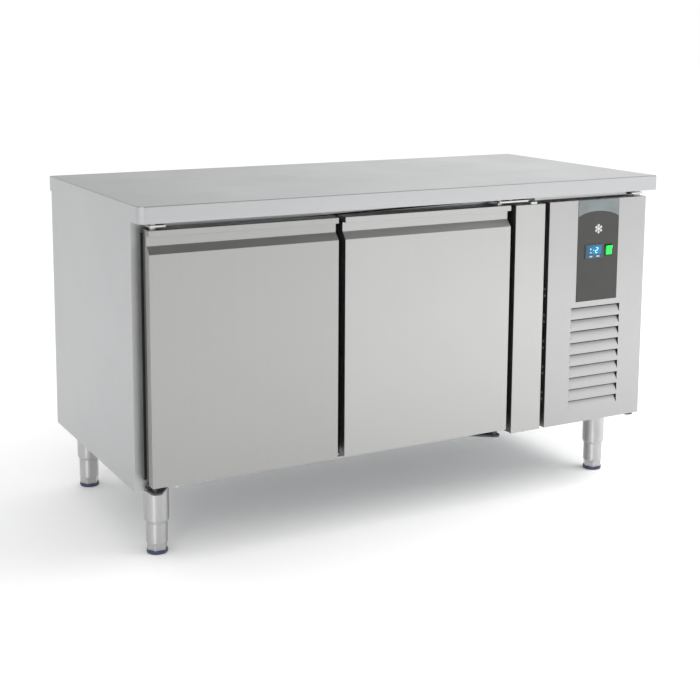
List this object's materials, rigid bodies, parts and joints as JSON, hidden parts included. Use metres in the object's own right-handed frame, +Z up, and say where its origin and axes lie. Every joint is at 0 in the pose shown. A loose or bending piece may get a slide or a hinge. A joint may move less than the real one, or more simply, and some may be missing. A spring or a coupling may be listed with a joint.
{
  "type": "undercounter refrigerator",
  "caption": "Stainless steel worktop refrigerator with insulated doors, a machine compartment behind a louvred hinged panel, controls and adjustable legs.",
  "frame": {"origin": "on the floor under the centre of the worktop", "axes": "+X to the right of a person facing the doors, +Y to the back, +Z up; the doors face -Y"},
  "size_m": [1.49, 0.7, 0.85],
  "materials": {
    "steel_brushed": "fine brushed stainless sheet",
    "steel_door": "scotch-brite stainless sheet, grain upright",
    "steel_inner": "bright annealed stainless sheet",
    "steel_galvanised": "galvanised sheet with faint spangle",
    "steel_zinc": "zinc plated, satin",
    "steel_dark": "dark painted bracket",
    "leg_steel": "polished tube",
    "wire_chrome": "bright wire",
    "foot_plastic": "moulded dark navy plastic",
    "black_plastic": "fine-grained black plastic",
    "nylon": "natural nylon",
    "gasket_rubber": "soft matt seal",
    "foam": "rigid insulating foam",
    "board": "raw board",
    "fascia_film": "printed overlay with a pale arched field at its top",
    "controller_plastic": "smooth tinted bezel with a blue display",
    "key_plastic": "smooth pale keycap",
    "rocker_green": "lit translucent rocker",
    "coil_aluminium": "finned block",
    "fan_blades": "pressed sheet",
    "motor_black": "black enamel",
    "compressor_black": "semi-gloss black enamel",
    "copper": "drawn copper tube",
    "grey_box": "moulded grey housing"
  },
  "bodies": {
    "cabinet": {"worktop": "steel_brushed", "worktop_core": "board", "side_panel_left": "steel_brushed", "side_panel_right": "steel_brushed", "rear_panel": "steel_galvanised", "rear_grille": "steel_galvanised", "base_pan": "steel_galvanised", "front_rails": "steel_brushed", "breaker_frame": "black_plastic", "insulation": "foam", "liner": "steel_inner", "centre_mullion": "steel_inner", "partition_panel": "steel_galvanised", "fixed_panel": "steel_door", "hinge_tongues": "steel_dark", "hinge_plates": "steel_zinc", "hinge_pins": "steel_zinc", "panel_catches": "black_plastic", "leg_tubes_upper": "leg_steel", "leg_tubes_lower": "leg_steel", "shelf_racks": "steel_inner", "wire_shelves": "wire_chrome", "evaporator_cover": "steel_inner", "evaporator_coil": "coil_aluminium", "evaporator_motor": "motor_black", "drip_tray": "steel_inner", "condenser_coil": "coil_aluminium", "fan_shroud": "steel_galvanised", "condenser_motor": "motor_black", "compressor": "compressor_black", "unit_plate": "steel_galvanised", "refrigerant_pipes": "copper", "electrical_box": "grey_box", "cable_gland": "black_plastic", "fasteners": "steel_zinc"},
    "door_left": {"door_left_shell": "steel_door", "door_left_core": "foam", "door_left_liner": "black_plastic", "door_left_gasket": "gasket_rubber", "door_left_bushes": "nylon"},
    "door_right": {"door_right_shell": "steel_door", "door_right_core": "foam", "door_right_liner": "black_plastic", "door_right_gasket": "gasket_rubber", "door_right_bushes": "nylon"},
    "compressor_door": {"compressor_panel": "steel_door", "panel_bushes": "nylon", "panel_rivets": "steel_zinc", "fascia": "fascia_film", "controller": "controller_plastic", "switch_housing": "black_plastic"},
    "rocker": {"switch_rocker": "rocker_green"},
    "key_l": {"key_left": "key_plastic"},
    "key_r": {"key_right": "key_plastic"},
    "condenser_rotor": {"condenser_fan": "fan_blades"},
    "evaporator_rotor": {"evaporator_fan": "fan_blades"},
    "foot_fl": {"foot_front_left": "foot_plastic"},
    "foot_fr": {"foot_front_right": "foot_plastic"},
    "foot_rl": {"foot_rear_left": "foot_plastic"},
    "foot_rr": {"foot_rear_right": "foot_plastic"}
  },
  "joints": [
    {"name": "door_left_hinge", "type": "hinge", "parent": "cabinet", "child": "door_left", "pos_m": [-0.7, -0.314, 0.196], "axis": [0, 0, -1], "range_deg": [0, 100]},
    {"name": "door_right_hinge", "type": "hinge", "parent": "cabinet", "child": "door_right", "pos_m": [0.2455, -0.314, 0.196], "axis": [0, 0, 1], "range_deg": [0, 100]},
    {"name": "compressor_panel_hinge", "type": "hinge", "parent": "cabinet", "child": "compressor_door", "pos_m": [0.7, -0.314, 0.1835], "axis": [0, 0, 1], "range_deg": [0, 100]},
    {"name": "switch_rocker_tilt", "type": "hinge", "parent": "compressor_door", "child": "rocker", "pos_m": [0.58875, -0.342, 0.655], "axis": [-1, 0, 0], "range_deg": [0, 16]},
    {"name": "key_left_press", "type": "slide", "parent": "compressor_door", "child": "key_l", "axis": [0, 1, 0], "range_m": [0, 0.0006], "stiffness_N_per_m": 300, "springref_m": -0.001},
    {"name": "key_right_press", "type": "slide", "parent": "compressor_door", "child": "key_r", "axis": [0, 1, 0], "range_m": [0, 0.0006], "stiffness_N_per_m": 300, "springref_m": -0.001},
    {"name": "condenser_fan_spin", "type": "hinge", "parent": "cabinet", "child": "condenser_rotor", "pos_m": [0.555, -0.19, 0.315], "axis": [0, 1, 0], "continuous": true},
    {"name": "evaporator_fan_spin", "type": "hinge", "parent": "cabinet", "child": "evaporator_rotor", "pos_m": [0.2515, 0.02, 0.6], "axis": [1, 0, 0], "continuous": true},
    {"name": "foot_front_left_turn", "type": "hinge", "parent": "cabinet", "child": "foot_fl", "pos_m": [-0.672, -0.235, 0.02], "axis": [0, 0, 1], "continuous": true},
    {"name": "foot_front_right_turn", "type": "hinge", "parent": "cabinet", "child": "foot_fr", "pos_m": [0.646, -0.235, 0.02], "axis": [0, 0, 1], "continuous": true},
    {"name": "foot_rear_left_turn", "type": "hinge", "parent": "cabinet", "child": "foot_rl", "pos_m": [-0.672, 0.294, 0.02], "axis": [0, 0, 1], "continuous": true},
    {"name": "foot_rear_right_turn", "type": "hinge", "parent": "cabinet", "child": "foot_rr", "pos_m": [0.646, 0.294, 0.02], "axis": [0, 0, 1], "continuous": true}
  ]
}
